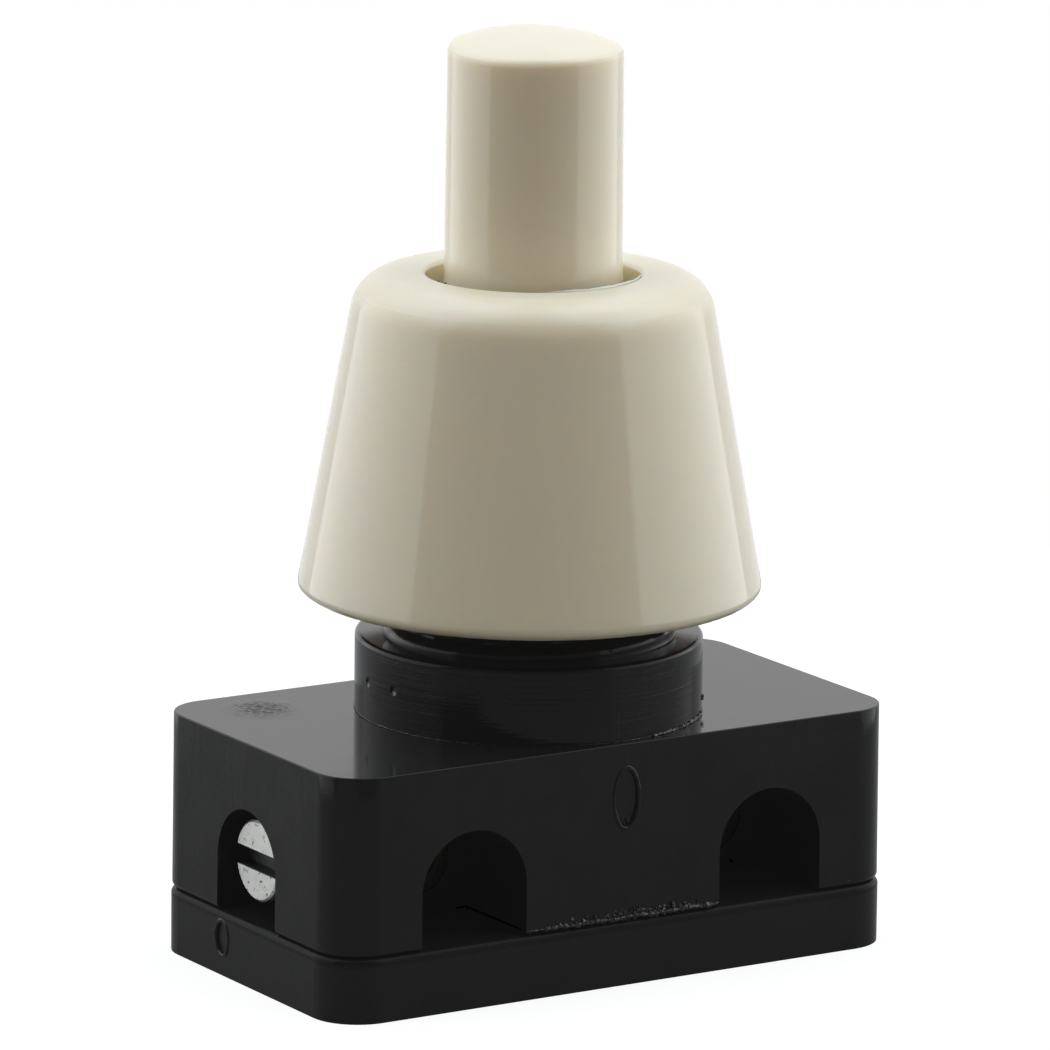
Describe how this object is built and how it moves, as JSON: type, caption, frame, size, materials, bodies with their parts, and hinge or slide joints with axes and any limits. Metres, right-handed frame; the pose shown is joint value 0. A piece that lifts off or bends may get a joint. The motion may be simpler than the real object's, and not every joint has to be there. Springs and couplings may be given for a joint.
{
  "type": "panel mount push switch",
  "caption": "Push-push lamp switch with a long round button, a skirted bezel nut on a threaded neck, and a rectangular body with side wire entries and end terminal screws.",
  "frame": {"origin": "middle of the base's underside", "axes": "+Z along the push button, X along the body's long side, wire entries face -Y"},
  "size_m": [0.03, 0.0212, 0.0429],
  "materials": {
    "black_plastic": "moulded black phenolic, satin with fine grain",
    "ivory_plastic": "glossy ivory urea moulding",
    "natural_nylon": "natural nylon",
    "spring_steel": "drawn spring steel",
    "brass": "plain brass",
    "bronze": "phosphor bronze strip",
    "silver": "silver contact face",
    "zinc_steel": "zinc plated steel"
  },
  "bodies": {
    "housing": {"base_cover": "black_plastic", "upper_housing": "black_plastic", "guide_bush": "natural_nylon", "return_spring": "spring_steel", "rotor_spring": "spring_steel", "pivot_pin": "spring_steel", "leaf_contact_left": "silver", "leaf_contact_right": "silver", "contact_leaf_left": "bronze", "contact_leaf_right": "bronze", "leaf_rivet_left": "brass", "leaf_rivet_right": "brass", "terminal_block_left": "brass", "terminal_block_right": "brass"},
    "button": {"push_button": "ivory_plastic", "drive_plunger": "natural_nylon"},
    "rotor": {"ratchet_rotor": "natural_nylon", "contact_bridge": "brass", "bridge_contact_front": "silver", "bridge_contact_back": "silver"},
    "bezel": {"bezel_nut": "ivory_plastic"},
    "screw_left": {"terminal_screw_left": "zinc_steel"},
    "screw_right": {"terminal_screw_right": "zinc_steel"}
  },
  "joints": [
    {"name": "button_press", "type": "slide", "parent": "housing", "child": "button", "axis": [0, 0, -1], "range_m": [0, 0.0045], "stiffness_N_per_m": 400, "springref_m": -0.005, "deforming": ["return_spring"]},
    {"name": "rotor_turn", "type": "hinge", "parent": "housing", "child": "rotor", "pos_m": [0, 0, 0.0048], "axis": [0, 0, 1], "range_deg": [0, 45]},
    {"name": "bezel_unscrew", "type": "slide", "parent": "housing", "child": "bezel", "axis": [0, 0, 1], "range_m": [-0.0018, 0.0265]},
    {"name": "left_screw_drive", "type": "slide", "parent": "housing", "child": "screw_left", "axis": [1, 0, 0], "range_m": [0, 0.00175]},
    {"name": "right_screw_drive", "type": "slide", "parent": "housing", "child": "screw_right", "axis": [-1, 0, 0], "range_m": [0, 0.00175]}
  ],
  "couplings": [
    {"joint": "rotor_turn", "follows": "button_press", "rad_per_m": 174.5}
  ]
}
